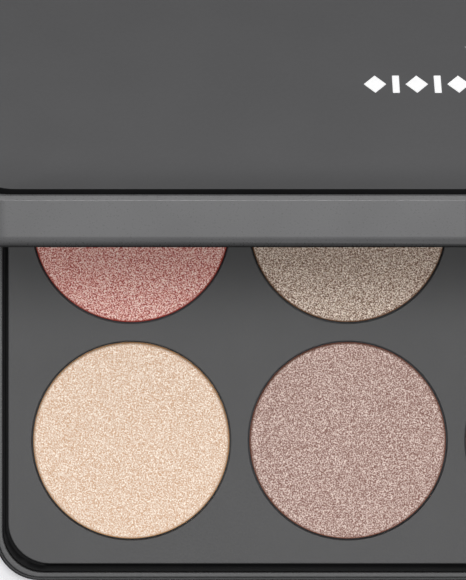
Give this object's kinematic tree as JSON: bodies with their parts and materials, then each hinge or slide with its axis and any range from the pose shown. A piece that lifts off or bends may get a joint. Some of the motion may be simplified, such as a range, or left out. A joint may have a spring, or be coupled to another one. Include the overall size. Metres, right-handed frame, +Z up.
{
  "type": "eyeshadow palette",
  "caption": "Flat rectangular palette with a hinged mirrored lid part open over rows of round shimmer powders in a dark grey tray.",
  "frame": {"origin": "centre of the flat underside of the base", "axes": "+X along the long side to the right, -Y towards the user, +Y towards the hinge, +Z up"},
  "size_m": [0.15, 0.0997, 0.0914],
  "materials": {
    "case_plastic": "satin dark grey moulded ABS",
    "plate_plastic": "matt dark grey moulded plate",
    "carrier_plastic": "matt black moulded insert",
    "lid_panel": "soft-touch dark grey panel",
    "white_foil": "white printed foil",
    "pan_aluminium": "bright drawn aluminium",
    "pin_steel": "drawn steel wire",
    "magnet_nickel": "nickel-plated magnet",
    "mirror_glass": "silvered glass",
    "glue": "cured clear-white adhesive",
    "foam_tape": "white foam tape",
    "label_paper": "blank coated label",
    "powder_champagne": "pressed shimmer powder",
    "powder_mauve_rose": "pressed shimmer powder",
    "powder_russet": "pressed shimmer powder",
    "powder_soft_peach": "pressed shimmer powder",
    "powder_ivory": "pressed shimmer powder",
    "powder_coral_rose": "pressed shimmer powder",
    "powder_taupe": "pressed shimmer powder",
    "powder_rose_gold": "pressed shimmer powder",
    "powder_cocoa": "pressed shimmer powder",
    "powder_dusty_plum": "pressed shimmer powder",
    "powder_sand": "pressed shimmer powder",
    "powder_bronze": "pressed shimmer powder",
    "powder_shell_pink": "pressed shimmer powder",
    "powder_copper": "pressed shimmer powder",
    "powder_espresso": "pressed shimmer powder"
  },
  "bodies": {
    "base": {"base_shell": "case_plastic", "rim_frame": "case_plastic", "pan_carrier": "carrier_plastic", "face_plate": "plate_plastic", "pan_adhesive": "glue", "base_magnets": "magnet_nickel", "bottom_label": "label_paper", "hinge_pin_left": "pin_steel", "hinge_pin_right": "pin_steel", "pan_front_1": "pan_aluminium", "pan_front_2": "pan_aluminium", "pan_front_3": "pan_aluminium", "pan_front_4": "pan_aluminium", "pan_front_5": "pan_aluminium", "pan_middle_1": "pan_aluminium", "pan_middle_2": "pan_aluminium", "pan_middle_3": "pan_aluminium", "pan_middle_4": "pan_aluminium", "pan_middle_5": "pan_aluminium", "pan_back_1": "pan_aluminium", "pan_back_2": "pan_aluminium", "pan_back_3": "pan_aluminium", "pan_back_4": "pan_aluminium", "pan_back_5": "pan_aluminium", "powder_front_1": "powder_champagne", "powder_front_2": "powder_mauve_rose", "powder_front_3": "powder_russet", "powder_front_4": "powder_soft_peach", "powder_front_5": "powder_ivory", "powder_middle_1": "powder_coral_rose", "powder_middle_2": "powder_taupe", "powder_middle_3": "powder_rose_gold", "powder_middle_4": "powder_cocoa", "powder_middle_5": "powder_dusty_plum", "powder_back_1": "powder_sand", "powder_back_2": "powder_bronze", "powder_back_3": "powder_shell_pink", "powder_back_4": "powder_copper", "powder_back_5": "powder_espresso"},
    "lid": {"lid_shell": "case_plastic", "lid_top_panel": "lid_panel", "panel_adhesive": "glue", "lid_ornament": "white_foil", "mirror": "mirror_glass", "mirror_adhesive": "foam_tape", "mirror_bezel": "case_plastic", "lid_magnets": "magnet_nickel"}
  },
  "joints": [
    {"name": "lid_hinge", "type": "hinge", "parent": "base", "child": "lid", "pos_m": [0, 0.04748, 0.0089], "axis": [-1, 0, 0], "range_deg": [-56.8, 63.2]}
  ]
}
